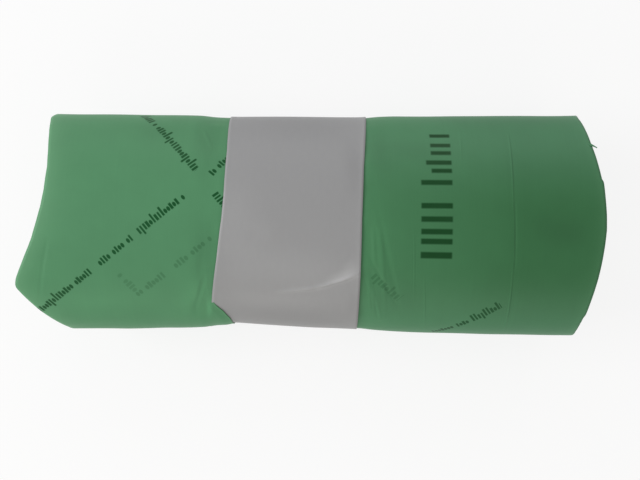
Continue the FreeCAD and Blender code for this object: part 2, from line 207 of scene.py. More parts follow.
def meshFrom(name, points, faces, uv=None, shades=None):
    # Points and map come in millimetres and are kept in metres. Each of the shades becomes an
    # attribute with one number a point.
    mesh = bpy.data.meshes.new(name)
    mesh.from_pydata((points * mm).tolist(), [], faces)
    if uv is not None:
        corners = np.empty(len(mesh.loops), dtype=np.int32)
        mesh.loops.foreach_get("vertex_index", corners)
        layer = mesh.uv_layers.new(name="windingMap")
        layer.data.foreach_set("uv", (uv.reshape(-1, 2)[corners] * mm).ravel())
    for label, values in (shades or {}).items():
        attribute = mesh.attributes.new(label, "FLOAT", "POINT")
        attribute.data.foreach_set("value", np.ascontiguousarray(values, dtype=np.float32).ravel())
    mesh.shade_smooth()
    mesh.validate()
    piece = bpy.data.objects.new(name, mesh)
    bpy.context.scene.collection.objects.link(piece)
    return piece


def closePoles(piece):
    # Points that lie on each other at the two ends become one.
    shell = bmesh.new()
    shell.from_mesh(piece.data)
    bmesh.ops.remove_doubles(shell, verts=shell.verts, dist=0.000001)
    shell.to_mesh(piece.data)
    shell.free()


def thicken(piece, thickness, side):
    # Gives the sheet a second face: side -1 puts it inside, 1 outside and 0 half each way.
    wall = piece.modifiers.new("wall", "SOLIDIFY")
    wall.thickness = thickness * mm
    wall.offset = side
    wall.use_even_offset = False


# The shader groups that the finishes are built from.
origin = (0.0, 0.0, 0.0)


def newGroup(name, inputs, output):
    # An empty group of shader nodes with its tree, what it is given and the one number it
    # gives back. Each input is a number or a vector with the value it starts from.
    tree = bpy.data.node_groups.new(name, "ShaderNodeTree")
    for label, value in inputs.items():
        kind = "NodeSocketFloat" if isinstance(value, float) else "NodeSocketVector"
        socket = tree.interface.new_socket(name=label, in_out="INPUT", socket_type=kind)
        socket.default_value = value
    tree.interface.new_socket(name=output, in_out="OUTPUT", socket_type="NodeSocketFloat")
    given, result = tree.nodes.new("NodeGroupInput"), tree.nodes.new("NodeGroupOutput")
    return tree, given.outputs, result.inputs[output]


def node(tree, kind, inputs=None, **settings):
    # Adds a node. A value in inputs is a number, or an output socket to be linked.
    made = tree.nodes.new(kind)
    for label, value in settings.items():
        setattr(made, label, value)
    for key, value in (inputs or {}).items():
        if isinstance(value, bpy.types.NodeSocket):
            tree.links.new(value, made.inputs[key])
        else:
            made.inputs[key].default_value = value
    return made


def maths(tree, operation, first, second=0.0, third=None):
    # One Math node of two or three numbers or sockets, as its output.
    values = {0: first, 1: second}
    if third is not None:
        values[2] = third
    return node(tree, "ShaderNodeMath", values, operation=operation).outputs[0]


def vectors(tree, operation, first, second=None):
    # One Vector Math node, as its output. The second of a scale is a number.
    values = {0: first}
    if second is not None:
        values["Scale" if operation == "SCALE" else 1] = second
    made = node(tree, "ShaderNodeVectorMath", values, operation=operation)
    isNumber = operation in ("DOT_PRODUCT", "DISTANCE", "LENGTH")
    return made.outputs["Value" if isNumber else "Vector"]


def ranged(tree, value, low, high, atLow, atHigh, kind="LINEAR"):
    # A value between low and high as one between atLow and atHigh, and kept within them.
    return node(tree, "ShaderNodeMapRange", {0: value, 1: low, 2: high, 3: atLow, 4: atHigh},
                interpolation_type=kind).outputs[0]


def mixed(tree, share, first, second):
    # Two colours mixed: first * (1 - share) + second * share.
    return node(tree, "ShaderNodeMix", {0: share, 6: first, 7: second},
                data_type="RGBA").outputs[2]


def varied(tree, value, share):
    # 1 - share / 2 + share * value, which is about 1 where the value is about a half.
    return maths(tree, "MULTIPLY_ADD", value, share, 1.0 - share / 2.0)


def strongest(tree, masks):
    # The largest of the masks at each point.
    total = 0.0
    for mask in masks:
        total = maths(tree, "MAXIMUM", mask, total)
    return total


def makeMottle():
    # Cloudy tone: broad noise and fine noise mixed by a share, about 0.5 on average.
    tree, given, result = newGroup("softMottle", {
        "Vector": origin, "Size": 40.0, "Fine Size": 300.0, "Fine Share": 0.35}, "Tone")
    broad = node(tree, "ShaderNodeTexNoise", {
        "Vector": given["Vector"], "Scale": given["Size"], "Detail": 2.0})
    fine = node(tree, "ShaderNodeTexNoise", {
        "Vector": given["Vector"], "Scale": given["Fine Size"], "Detail": 3.0})
    blend = node(tree, "ShaderNodeMix", {
        0: given["Fine Share"], 2: broad.outputs["Fac"], 3: fine.outputs["Fac"]},
        data_type="FLOAT")
    tree.links.new(blend.outputs[0], result)
    return tree


def makeStreaks():
    # Fine lines that run one way, from noise stretched along the second axis of the map.
    tree, given, result = newGroup("drawnStreaks", {
        "Map": origin, "Across": 900.0, "Along": 12.0}, "Height")
    scale = node(tree, "ShaderNodeCombineXYZ", {
        "X": given["Across"], "Y": given["Along"], "Z": 1.0})
    stretched = vectors(tree, "MULTIPLY", given["Map"], scale.outputs[0])
    lines = node(tree, "ShaderNodeTexNoise", {
        "Vector": stretched, "Scale": 1.0, "Detail": 3.0, "Roughness": 0.6})
    tree.links.new(lines.outputs["Fac"], result)
    return tree


def makeMarkRow():
    # A row of plain marks in a strip of the map. The strip is divided into cells of one pitch.
    # Each cell holds an upright stroke or a round dot, chosen by white noise of its number, and
    # one cell in nine is left empty.
    tree, given, result = newGroup("markRow", {
        "Map": origin, "Start": origin, "Angle": 0.0, "Length": 0.03, "Height": 0.002,
        "Pitch": 0.001, "Seed": 0.0}, "Mask")
    moved = vectors(tree, "SUBTRACT", given["Map"], given["Start"])
    turnBack = maths(tree, "MULTIPLY", given["Angle"], -1.0)
    turned = node(tree, "ShaderNodeVectorRotate", {
        "Vector": moved, "Angle": turnBack}, rotation_type="Z_AXIS")
    parts = node(tree, "ShaderNodeSeparateXYZ", {0: turned.outputs[0]})
    alongRow, acrossRow = parts.outputs[0], parts.outputs[1]
    cells = maths(tree, "DIVIDE", alongRow, given["Pitch"])
    cell = maths(tree, "FLOOR", cells)
    within = maths(tree, "SUBTRACT", cells, cell)
    number = maths(tree, "ADD", cell, given["Seed"])
    luck = node(tree, "ShaderNodeTexWhiteNoise", {"W": number}, noise_dimensions="1D")
    dice = node(tree, "ShaderNodeSeparateColor", {0: luck.outputs["Color"]})
    # the stroke's half width, 0.27 to 0.42 of the cell
    halfWide = maths(tree, "MULTIPLY_ADD", dice.outputs[0], 0.15, 0.27)
    fromMiddle = maths(tree, "ABSOLUTE", maths(tree, "SUBTRACT", within, 0.5))
    isWide = ranged(tree, maths(tree, "SUBTRACT", fromMiddle, halfWide), -0.06, 0.06, 1.0, 0.0)
    # one stroke in four is tall, and one in seven hangs below the line
    tall = maths(tree, "MULTIPLY_ADD", maths(tree, "GREATER_THAN", dice.outputs[1], 0.72), 0.5, 1.0)
    low = maths(tree, "MULTIPLY", maths(tree, "LESS_THAN", dice.outputs[1], 0.14), -0.42)
    level = maths(tree, "DIVIDE", acrossRow, given["Height"])
    belowTop = ranged(tree, maths(tree, "SUBTRACT", level, tall), -0.09, 0.09, 1.0, 0.0)
    aboveFoot = ranged(tree, maths(tree, "SUBTRACT", level, low), -0.09, 0.09, 0.0, 1.0)
    stroke = maths(tree, "MULTIPLY", isWide, belowTop)
    stroke = maths(tree, "MULTIPLY", stroke, aboveFoot)
    # the dot fills an oval about the cell's middle, given as a share of its half size
    dotX = maths(tree, "DIVIDE", fromMiddle, 0.5)
    dotY = maths(tree, "DIVIDE", maths(tree, "SUBTRACT", level, 0.42), 0.42)
    dotAway = maths(tree, "SQRT", maths(tree, "ADD", maths(
        tree, "MULTIPLY", dotX, dotX), maths(tree, "MULTIPLY", dotY, dotY)))
    dot = ranged(tree, dotAway, 0.75, 1.05, 1.0, 0.0)
    isDot = maths(tree, "GREATER_THAN", maths(
        tree, "FRACT", maths(tree, "MULTIPLY", dice.outputs[0], 7.0)), 0.6)
    isPresent = maths(tree, "GREATER_THAN", dice.outputs[2], 0.11)
    afterStart = maths(tree, "GREATER_THAN", alongRow, 0.0)
    beforeEnd = maths(tree, "LESS_THAN", alongRow, given["Length"])
    mask = node(tree, "ShaderNodeMix", {0: isDot, 2: stroke, 3: dot}, data_type="FLOAT").outputs[0]
    for factor in (isPresent, afterStart, beforeEnd):
        mask = maths(tree, "MULTIPLY", mask, factor)
    tree.links.new(mask, result)
    return tree


def makeBlock():
    # One soft-edged oblong of the map, between two corners.
    tree, given, result = newGroup("oneBlock", {
        "Map": origin, "Low X": 0.0, "High X": 0.01, "Low Y": 0.0, "High Y": 0.01,
        "Softness": 0.0003}, "Mask")
    parts = node(tree, "ShaderNodeSeparateXYZ", {0: given["Map"]})
    mask = 1.0
    for axis, low, high in ((0, "Low X", "High X"), (1, "Low Y", "High Y")):
        middle = maths(tree, "MULTIPLY", maths(tree, "ADD", given[low], given[high]), 0.5)
        half = maths(tree, "MULTIPLY", maths(tree, "SUBTRACT", given[high], given[low]), 0.5)
        away = maths(tree, "ABSOLUTE", maths(tree, "SUBTRACT", parts.outputs[axis], middle))
        past = maths(tree, "DIVIDE", maths(tree, "SUBTRACT", away, half), given["Softness"])
        mask = maths(tree, "MULTIPLY", mask, ranged(tree, past, -0.5, 0.5, 1.0, 0.0))
    tree.links.new(mask, result)
    return tree


def makeFoldLine():
    # 1 along the line between two points of the map, falling smoothly to 0 at the width, times
    # the sine of 0.32 + 2.5 share, which is weaker towards the line's two ends.
    tree, given, result = newGroup("foldLine", {
        "Map": origin, "Start": origin, "End": (0.01, 0.0, 0.0), "Width": 0.0006}, "Height")
    away = vectors(tree, "SUBTRACT", given["Map"], given["Start"])
    whole = vectors(tree, "SUBTRACT", given["End"], given["Start"])
    passed = vectors(tree, "DOT_PRODUCT", away, whole)
    square = vectors(tree, "DOT_PRODUCT", whole, whole)
    share = node(tree, "ShaderNodeMath", {0: passed, 1: square}, operation="DIVIDE",
                 use_clamp=True).outputs[0]
    gap = vectors(tree, "DISTANCE", away, vectors(tree, "SCALE", whole, share))
    reach = maths(tree, "DIVIDE", gap, given["Width"])
    ridge = ranged(tree, reach, 0.0, 1.0, 1.0, 0.0, "SMOOTHSTEP")
    fade = maths(tree, "SINE", maths(tree, "MULTIPLY_ADD", share, 2.5, 0.32))
    tree.links.new(maths(tree, "MULTIPLY", ridge, fade), result)
    return tree


def placeGroup(tree, group, values):
    # A group's node in a material, with its own values, as its one output.
    return node(tree, "ShaderNodeGroup", values, node_tree=group).outputs[0]


softMottle = makeMottle()
drawnStreaks = makeStreaks()
markRow = makeMarkRow()
oneBlock = makeBlock()
foldLine = makeFoldLine()


def foldHeights(tree, windingMap, folds):
    # The sum of the fold lines, each by its own strength.
    total = 0.0
    for start, end, strength, width in folds:
        line = placeGroup(tree, foldLine, {
            "Map": windingMap, "Start": (start[0] * mm, start[1] * mm, 0.0),
            "End": (end[0] * mm, end[1] * mm, 0.0), "Width": width * mm})
        total = maths(tree, "MULTIPLY_ADD", line, strength, total)
    return total


print("shader groups are made")


def screenColour(red, green, blue):
    # From the 0 to 255 numbers of a screen to the linear ones of a shader: ((v + 0.055) / 1.055)
    # to the power 2.4, or v / 12.92 in the deepest dark.
    values = np.array([red, green, blue]) / 255.0
    linear = np.where(values > 0.04045, ((values + 0.055) / 1.055) ** 2.4, values / 12.92)
    return (*linear.tolist(), 1.0)


# The film's finish, with its lengths in millimetres.
film = {
    "leftColour": screenColour(82, 138, 98),
    # painted shade: the right part's colour is a shadowed copy of the green, and the side colour a
    # painted sheen
    "rightShadeColour": screenColour(46, 97, 57),
    "sideSheenColour": screenColour(72, 122, 88),
    "rimColour": screenColour(118, 170, 130),
    "barColour": screenColour(0, 57, 17),
    "rowColour": screenColour(0, 70, 28),
    "ghostColour": screenColour(40, 90, 54),
    "roughness": 0.48,
    "specular": 0.18,
    "rightShading": (-30.0, 66.0, 0.85),   # painted shade on the right part: where along the roll it starts and ends, and how deep
    "shadeDeepestAt": -5.5,        # how far round from the crown the painted shade is deepest
    "sideSheenReach": (8.0, 36.0),    # how far from there the painted sheen on the sides starts and ends to grow paler
    "rimShare": 0.45,         # how much paler the film is at its edges
    "mottle": {"Size": 28.0, "Fine Size": 150.0, "Fine Share": 0.42},
    "mottleShare": 0.24,
    "streaks": {"Across": 1100.0, "Along": 9.0},
    "streakShare": 0.06,
    "barSoftness": 0.5,
    "wear": (0.3, 0.82),      # share of the cloudy tone in the ink's strength, and the rest of it
    "grainScale": 1500.0,
    "fineStrength": 0.12,
    "fineDepth": 0.3,
    "foldDepth": 0.16,
    # Start, end, strength and width of each fine fold line, on the unrolled film. With twice as
    # many, the material grows too long for Cycles and renders black.
    "foldLines": [
        ((62.6, 30.0), (62.3, 4.0), 0.8, 0.5), ((62.9, 6.0), (63.4, -14.0), -0.9, 0.55),
        ((62.7, -12.0), (63.2, -37.0), 0.75, 0.5), ((32.1, -2.0), (33.0, -25.0), 0.35, 0.4),
        ((35.7, -17.0), (37.5, -38.0), 0.45, 0.45), ((20.2, 7.0), (29.0, -30.0), -0.6, 1.4),
        ((21.8, -2.0), (24.3, -30.0), 0.8, 1.2), ((17.7, -15.0), (23.0, -34.0), 1.0, 1.3),
        ((18.2, -10.0), (27.4, -26.5), -0.8, 1.0), ((20.6, -24.5), (22.2, -33.0), -1.3, 0.9),
        ((18.6, -19.0), (19.6, -29.0), 0.9, 0.8), ((19.6, -2.0), (20.4, -14.0), 0.8, 1.0),
        ((-32.0, -19.0), (-35.4, -30.0), -1.0, 1.3), ((-84.0, -26.0), (-79.5, -6.0), -0.5, 1.0),
        ((47.0, 18.0), (47.4, 33.0), 0.3, 0.5), ((-30.6, 24.0), (-34.0, 32.0), 0.5, 1.0),
    ],
    # soft patches, kept on the mesh: start, end, how much lighter or darker, and width. Some are
    # random tone; those beside the band's edges and on the right part's crown are painted shade and
    # painted light.
    "toneAndShadePatches": [
        ((-30.0, 16.0), (-32.0, 38.0), -0.12, 4.2), ((-37.0, -20.0), (-33.0, -34.0), 0.13, 4.8),
        ((20.5, 8.0), (21.5, -16.0), 0.08, 3.0), ((18.0, -25.0), (36.0, -24.0), -0.08, 5.4),
        ((40.0, 38.0), (84.0, 36.0), -0.06, 4.2), ((68.0, -1.0), (85.0, -3.0), -0.13, 4.8),
        ((21.0, 34.0), (22.5, 14.0), -0.12, 3.6), ((-30.5, -4.0), (-31.5, -16.0), -0.12, 2.7),
        ((-82.0, -27.0), (-50.0, -26.0), 0.07, 4.2), ((-58.0, 31.0), (-38.0, 30.0), -0.09, 4.8),
        ((24.0, 24.0), (38.0, 23.0), -0.08, 4.2), ((-80.0, 60.0), (-44.0, 56.0), -0.10, 6.0),
        ((24.0, 54.0), (60.0, 58.0), 0.08, 6.0), ((-70.0, -58.0), (-42.0, -62.0), 0.08, 6.0),
        ((30.0, -56.0), (78.0, -60.0), -0.08, 6.0),
    ],
    # small rows: start and end on the unrolled film, height of a stroke, pitch, seed, strength
    "rows": [
        ((-55.6, 39.4), (-35.6, 15.0), 2.2, 1.12, 3.0, 1.0),
        ((-84.6, -31.4), (-36.8, 7.0), 2.2, 1.12, 21.0, 1.0),
        ((-29.6, 13.6), (-22.0, 22.5), 2.2, 1.12, 47.0, 1.0),
        ((-29.8, 7.4), (-23.0, -1.4), 2.2, 1.12, 65.0, 1.0),
        ((41.0, -41.5), (60.9, -27.0), 2.0, 1.10, 83.0, 1.0),
        ((70.0, 62.0), (40.0, 84.0), 1.9, 1.16, 105.0, 0.85),
        ((-80.0, 58.0), (-42.0, 84.0), 1.9, 1.16, 131.0, 0.85),
        ((-62.0, -52.0), (-38.0, -82.0), 1.9, 1.16, 151.0, 0.85),
    ],
    # printed on the layer below, so only just seen
    "ghostRows": [
        ((-60.0, -16.6), (-54.2, -23.6), 2.2, 1.3, 9.0, 0.32),
        ((-53.0, -25.2), (-29.0, -7.0), 2.2, 1.3, 33.0, 0.40),
        ((17.0, -15.8), (27.6, -25.6), 2.2, 1.4, 57.0, 0.46),
    ],
    # the large row of plain bars: low and high along the roll, low and high round it
    "bars": [
        (34.3, 43.9, -11.0, -9.0), (34.3, 43.9, -6.6, -4.9), (34.3, 43.9, -3.6, -1.9),
        (34.3, 43.9, 0.2, 1.9), (34.3, 43.9, 4.3, 6.0), (34.3, 43.9, 11.6, 13.2),
        (37.6, 43.9, 15.5, 16.9), (36.0, 43.9, 18.2, 19.7), (37.6, 43.9, 21.6, 23.0),
        (37.6, 43.9, 24.4, 25.8), (37.6, 43.9, 28.2, 29.6),
    ],
}


def newMaterial(name):
    # A material with its tree and its shader.
    material = bpy.data.materials.new(name)
    material.use_nodes = True
    return material, material.node_tree, material.node_tree.nodes["Principled BSDF"]


def woundMap(tree):
    # What every wound piece brings: its map, laid flat, and how near each point is to an edge.
    rim = node(tree, "ShaderNodeAttribute", attribute_name="rim").outputs["Fac"]
    return node(tree, "ShaderNodeUVMap", uv_map="windingMap").outputs[0], rim


def roughen(tree, shader, look, windingMap, height):
    # The bump of the look's fold lines, and over it that of its fine relief.
    folded = node(tree, "ShaderNodeBump", {
        "Strength": 1.0, "Distance": look["foldDepth"] * mm,
        "Height": foldHeights(tree, windingMap, look["foldLines"])})
    bump = node(tree, "ShaderNodeBump", {
        "Strength": look["fineStrength"], "Distance": look["fineDepth"] * mm,
        "Height": height, "Normal": folded.outputs[0]})
    tree.links.new(bump.outputs[0], shader.inputs["Normal"])
    shader.inputs["Specular IOR Level"].default_value = look["specular"]


def filmFinish():
    # Green with painted shade that deepens towards the right and a painted sheen that pales its
    # sides, times cloudy tone, streaks and patches of tone and painted shade, with the plain marks
    # mixed in over it. Its bump is the fold lines, then fine streaks and grain.
    material, tree, shader = newMaterial("satinGreenFilm")
    windingMap, rim = woundMap(tree)
    # patches of random tone, and of painted shade beside the band's edges and on the right part's
    # crown
    toneAndShadePatches = node(tree, "ShaderNodeAttribute", attribute_name="toneAndShadePatches").outputs["Fac"]
    place = node(tree, "ShaderNodeSeparateXYZ", {0: windingMap})
    mottle = placeGroup(tree, softMottle, {"Vector": windingMap, **film["mottle"]})
    streaks = placeGroup(tree, drawnStreaks, {"Map": windingMap, **film["streaks"]})

    # painted shade: lighter at the left, darker towards the right part, as if in shadow there
    starts, ends, deepest = film["rightShading"]
    rightShade = ranged(tree, place.outputs[0], starts * mm, ends * mm, 0.0, deepest)
    # and the painted shade is deepest near its crown, with a painted sheen making the sides paler
    fromShadeCentre = maths(tree, "ABSOLUTE", maths(
        tree, "SUBTRACT", place.outputs[1], film["shadeDeepestAt"] * mm))
    starts, ends = film["sideSheenReach"]
    side = ranged(tree, fromShadeCentre, starts * mm, ends * mm, 0.0, 1.0, "SMOOTHSTEP")
    deep = mixed(tree, side, film["rightShadeColour"], film["sideSheenColour"])
    base = mixed(tree, rightShade, film["leftColour"], deep)
    rimmed = mixed(tree, maths(tree, "MULTIPLY", rim, film["rimShare"]), base, film["rimColour"])
    tone = varied(tree, mottle, film["mottleShare"])
    tone = maths(tree, "MULTIPLY", tone, varied(tree, streaks, film["streakShare"]))
    tone = maths(tree, "MULTIPLY", tone, maths(tree, "ADD", toneAndShadePatches, 1.0))

    def rowMask(row):
        # the group of marks, started at the row's first end and turned towards its other
        (startX, startY), (endX, endY), tall, pitch, seed, strength = row
        angle = math.atan2(endY - startY, endX - startX)
        mask = placeGroup(tree, markRow, {
            "Map": windingMap, "Start": (startX * mm, startY * mm, 0.0), "Angle": angle,
            "Length": math.hypot(endX - startX, endY - startY) * mm, "Height": tall * mm,
            "Pitch": pitch * mm, "Seed": seed})
        return maths(tree, "MULTIPLY", mask, strength)

    def barMask(bar):
        # the group of one oblong, between the bar's two corners
        lowX, highX, lowY, highY = (value * mm for value in bar)
        return placeGroup(tree, oneBlock, {
            "Map": windingMap, "Low X": lowX, "High X": highX, "Low Y": lowY, "High Y": highY,
            "Softness": film["barSoftness"] * mm})

    ghost = strongest(tree, (rowMask(row) for row in film["ghostRows"]))
    printed = mixed(tree, ghost, vectors(tree, "SCALE", rimmed, tone), film["ghostColour"])
    rowInk = strongest(tree, (rowMask(row) for row in film["rows"]))
    barInk = strongest(tree, (barMask(bar) for bar in film["bars"]))
    wear = maths(tree, "MULTIPLY_ADD", mottle, *film["wear"])
    for ink, colour in ((rowInk, "rowColour"), (barInk, "barColour")):
        printed = mixed(tree, maths(tree, "MULTIPLY", ink, wear), printed, film[colour])
    tree.links.new(printed, shader.inputs["Base Color"])

    # a little shinier where there is ink
    rough = maths(tree, "MULTIPLY_ADD", mottle, 0.12, film["roughness"] - 0.06)
    allInk = maths(tree, "MAXIMUM", rowInk, barInk)
    tree.links.new(maths(tree, "MULTIPLY_ADD", allInk, -0.06, rough), shader.inputs["Roughness"])
    grain = node(tree, "ShaderNodeTexNoise", {
        "Vector": windingMap, "Scale": film["grainScale"], "Detail": 2.0}).outputs["Fac"]
    height = maths(tree, "MULTIPLY_ADD", streaks, 0.5, maths(tree, "MULTIPLY", grain, 0.25))
    roughen(tree, shader, film, windingMap, height)
    return material


# The paper's finish, with its lengths in millimetres.
paper = {
    "colour": screenColour(150, 150, 151),
    "roughness": 0.5,
    "specular": 0.3,
    "mottle": {"Size": 35.0, "Fine Size": 600.0, "Fine Share": 0.25},
    "mottleShare": 0.07,
    "fibres": {"Across": 700.0, "Along": 260.0},
    "fibreShare": 0.05,
    "rimShare": 0.03,
    "paintedSheenShadeShare": 0.32,
    "fineStrength": 0.10,
    "fineDepth": 0.3,
    "foldDepth": 0.2,
    # start, end, strength and width of each line of the curved crease
    "foldLines": [
        ((-11.6, -23.7), (-4.3, -23.4), 0.35, 0.9), ((-7.3, -23.6), (1.6, -22.0), 0.6, 0.9),
        ((-1.4, -22.6), (7.0, -20.2), 0.9, 0.9), ((4.2, -21.2), (13.0, -17.9), 1.2, 0.8),
        ((9.7, -19.2), (15.6, -16.2), 0.9, 1.0),
    ],
    # and of each soft patch of painted highlight, lighter and smoother, or of painted shade, darker
    # and rougher
    "paintedSheenAndShade": [
        ((-9.0, -23.8), (6.0, -21.2), 0.45, 1.6), ((3.0, -21.4), (14.6, -17.2), 0.85, 1.6),
        ((6.5, -19.0), (15.6, -15.6), 0.6, 2.4), ((10.6, -17.4), (14.8, -12.5), 0.4, 3.2),
        ((-26.0, -13.0), (12.0, -18.0), 0.27, 11.0), ((-26.0, 12.0), (-22.0, -14.0), 0.30, 14.0),
        ((-26.0, 37.0), (16.0, 37.0), -0.28, 18.0), ((-28.0, -36.0), (16.0, -34.0), -0.22, 9.0),
        ((13.5, 26.0), (14.5, 8.0), -0.24, 5.0), ((14.5, -22.0), (15.0, -33.0), -0.22, 4.0),
        ((-24.0, -27.5), (4.0, -27.0), 0.18, 6.0), ((-17.0, -3.0), (-10.0, -5.0), 0.16, 6.0),
    ],
}


def paperFinish():
    # Grey times cloudy tone, fibres and soft painted highlights and painted shade. Its bump is the
    # crease, then the fibres.
    material, tree, shader = newMaterial("satinGreyPaper")
    windingMap, rim = woundMap(tree)
    mottle = placeGroup(tree, softMottle, {"Vector": windingMap, **paper["mottle"]})
    fibres = placeGroup(tree, drawnStreaks, {"Map": windingMap, **paper["fibres"]})
    # painted highlights along the crease and in a broad band, and painted shade at the back and
    # front edges
    paintedSheenAndShade = foldHeights(tree, windingMap, paper["paintedSheenAndShade"])
    tone = varied(tree, mottle, paper["mottleShare"])
    tone = maths(tree, "MULTIPLY", tone, varied(tree, fibres, paper["fibreShare"]))
    for value, share in ((rim, paper["rimShare"]), (paintedSheenAndShade, paper["paintedSheenShadeShare"])):
        tone = maths(tree, "MULTIPLY", tone, maths(tree, "MULTIPLY_ADD", value, share, 1.0))
    shaded = vectors(tree, "SCALE", paper["colour"][:3], tone)
    tree.links.new(shaded, shader.inputs["Base Color"])
    rough = maths(tree, "MULTIPLY_ADD", mottle, 0.1, paper["roughness"] - 0.05)
    tree.links.new(maths(tree, "MULTIPLY_ADD", paintedSheenAndShade, -0.12, rough), shader.inputs["Roughness"])
    roughen(tree, shader, paper, windingMap, fibres)
    return material


greenFilm = filmFinish()
greyPaper = paperFinish()
print("finishes are made")


def dress(piece, material):
    # Every piece has one finish, and rides on the row's only body.
    piece.data.materials.append(material)
    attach(piece, "root")


# The outer turn of film.
skin = {
    "aroundPoints": 250,
    "alongPoints": 190,
    "thickness": 0.22,
    "span": (-84.0, 173.0),   # about where it starts along the roll, and how long it is
    "base": -0.05,            # how far out from the oval it lies on average
    "turns": 1.035,           # a little more than once round, so that it tucks under its lip
    "tuck": 0.85,             # how deep it lies where it goes under the lip
    "tuckPlace": (0.86, 0.10),   # where it starts to dive, and over what part of a turn
    "lipLift": 0.25,
    "bandEdges": (-27.5, 16.6),
    # start, end, height and width of each fold, on the unrolled film
    "folds": [
        ((62.9, 29.0), (62.3, 8.0), -0.07, 0.5), ((62.3, 8.0), (62.9, -10.0), -0.10, 0.45),
        ((62.9, -12.0), (64.6, -36.0), -0.06, 0.5), ((62.0, 10.0), (62.2, -8.0), 0.05, 0.5),
        ((32.1, -2.0), (33.0, -25.0), -0.03, 0.5), ((35.7, -17.0), (37.5, -38.0), -0.03, 0.5),
        ((20.0, 8.0), (23.6, -22.0), 0.10, 0.9), ((21.6, -2.0), (28.6, -30.0), -0.10, 0.8),
        ((17.9, -14.0), (24.0, -33.0), 0.14, 1.0), ((19.0, -15.0), (27.2, -26.0), -0.09, 0.8),
        ((18.0, -4.0), (20.6, -20.0), -0.08, 0.8),
        ((-31.6, -5.0), (-34.0, -22.0), -0.14, 1.3), ((-31.2, -16.0), (-38.0, -34.0), 0.16, 1.8),
        ((-30.8, 20.0), (-35.0, 34.0), -0.10, 1.6), ((-31.0, 6.0), (-36.0, 16.0), 0.08, 1.8),
        ((-33.1, -13.0), (-32.7, -27.0), -0.12, 0.7), ((-30.8, 26.0), (-33.5, 14.0), 0.08, 0.8),
        ((-86.0, -24.0), (-80.0, -8.0), -0.07, 1.2), ((-80.0, -41.0), (-60.0, -36.0), -0.08, 1.6),
        # and on the back and the front, which the camera above doesn't see
        ((-78.0, 49.0), (-40.0, 62.0), -0.13, 1.5), ((-72.0, 72.0), (-46.0, 53.0), 0.10, 1.3),
        ((-34.0, 46.0), (-52.0, 68.0), -0.12, 1.1), ((22.0, 47.0), (44.0, 59.0), -0.13, 1.1),
        ((28.0, 72.0), (62.0, 61.0), 0.10, 1.5), ((55.0, 50.0), (85.0, 57.0), -0.11, 1.2),
        ((-74.0, -51.0), (-46.0, -61.0), -0.12, 1.3), ((-60.0, -73.0), (-36.0, -55.0), 0.10, 1.4),
        ((20.0, -46.0), (40.0, -59.0), -0.13, 1.1), ((34.0, -67.0), (70.0, -59.0), 0.10, 1.5),
        ((60.0, -48.0), (86.0, -55.0), -0.11, 1.2),
    ],
    # height, rate along, rate around and phase of each slow swell
    "swells": [
        (0.10, 0.055, 0.03, 0.4), (0.07, -0.09, 0.06, 1.9), (0.05, 0.15, -0.05, 0.8),
        (0.03, 0.28, 0.11, 2.6),
    ],
    # gathers beside the band: height, rate around, phase, reach away from the band
    "gathers": [(0.13, 0.42, 0.3, 4.5), (0.08, 0.95, 1.7, 3.0), (0.05, 1.7, 0.9, 2.2)],
}

# The paper band.
band = {
    "aroundPoints": 300,
    "acrossPoints": 56,
    "thickness": 0.18,
    "span": (-28.0, 44.5),
    "clearance": 0.16,
    "lap": 26.0,              # angle of the glued lap
    "lapAngle": -46.0,
    "edgeCurlLeft": 0.06,
    "edgeCurlRight": 0.14,
    "lapRise": (0.95, 0.045),    # where it starts to climb on itself, and over what part of a turn
    "lapGap": 0.05,
    "lowest": 0.19,           # how near its inner face comes to the table
    "creaseHeight": 0.16,
    "creaseWidth": 1.5,
    "creaseFade": (-14.0, 14.0),   # where the crease starts, and over how long it grows
    "crease": [
        (-14.0, -23.6), (-6.3, -23.9), (-0.4, -22.4), (5.2, -20.8), (10.7, -18.9), (16.4, -16.4),
    ],
}
bandLeft = np.array([(-36.0, -31.9), (-22.9, -30.1), (-11.4, -28.2), (1.0, -26.6), (7.6, -26.1),
                     (22.0, -25.7), (36.0, -26.2)])
bandRight = np.array([(-36.0, 15.8), (-16.8, 16.1), (1.0, 16.3), (16.5, 16.8), (36.0, 18.2)])


# The fold of film that bulges over the band's front left corner.
lobe = {
    "aroundPoints": 90,
    "alongPoints": 40,
    "inner": -42.0,
    "lift": 0.4,
    "thickness": 0.22,
    "window": (124.0, 20.0, 236.0, 16.0),    # angles where it starts, is full, ends, and fades
    "parting": (140.0, 16.0, 232.0, 14.0),   # the same for where it leaves the outer turn
    "rise": (-50.0, 14.0),    # where along the roll the lift starts, and over how long it grows
    "leave": (-38.0, 3.0),    # the same for where it passes from the outer turn to this piece
    "emerge": (130.0, 6.0),   # the same, by angle, for where its rim comes out of the outer turn
    "madeGood": (0.6, 35.3),  # share of what the oval lacks here, and the half width it lacks it to
    "turnDown": 0.35,
    "onPaper": 0.64,          # height of its upper face over the oval where it lies on the band
    "buried": 0.2,            # how deep its rim starts in the outer turn, beside the band
    # angle round the roll and how far along it the bulge reaches there
    "rim": [(124.0, -29.6), (132.0, -29.4), (136.0, -29.6), (139.0, -29.8), (140.7, -29.6),
            (144.5, -28.4), (148.5, -26.9), (155.8, -25.5), (165.0, -24.9), (180.0, -24.6),
            (195.0, -25.3), (210.0, -27.8), (222.0, -31.4), (236.0, -35.5)],
}


def smoothly(value, start, length):
    # 0 up to the start, 1 past the length, and between them s^2 (3 - 2 s) of the share s.
    share = np.clip((value - start) / length, 0.0, 1.0)
    return share * share * (3.0 - 2.0 * share)


def plateau(value, start, rise, end, fall):
    # 1 between two places and 0 outside them, with a smooth rise and a smooth fall.
    return smoothly(value, start, rise) * smoothly(end - value, 0.0, fall)


